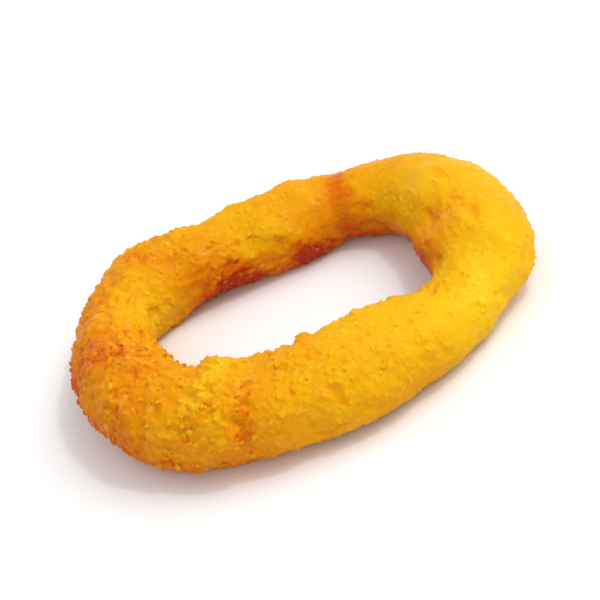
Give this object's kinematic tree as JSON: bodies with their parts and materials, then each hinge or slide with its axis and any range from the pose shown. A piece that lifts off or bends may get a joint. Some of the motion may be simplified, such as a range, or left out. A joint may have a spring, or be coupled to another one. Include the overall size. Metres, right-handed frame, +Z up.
{
  "type": "onion ring",
  "caption": "Crumbed, deep-fried onion ring: an uneven oval ring with an open middle and a flattened underside, eaten as a side or a snack.",
  "frame": {"origin": "on the resting plane, under the middle of the ring", "axes": "+X along the longer way across the oval, +Y across it from the thick side to the thin side, +Z up"},
  "size_m": [0.0736, 0.054, 0.0154],
  "materials": {
    "fried_crust": "golden fried crumb, slightly oily"
  },
  "bodies": {
    "root": {"onion_ring": "fried_crust"}
  },
  "joints": []
}
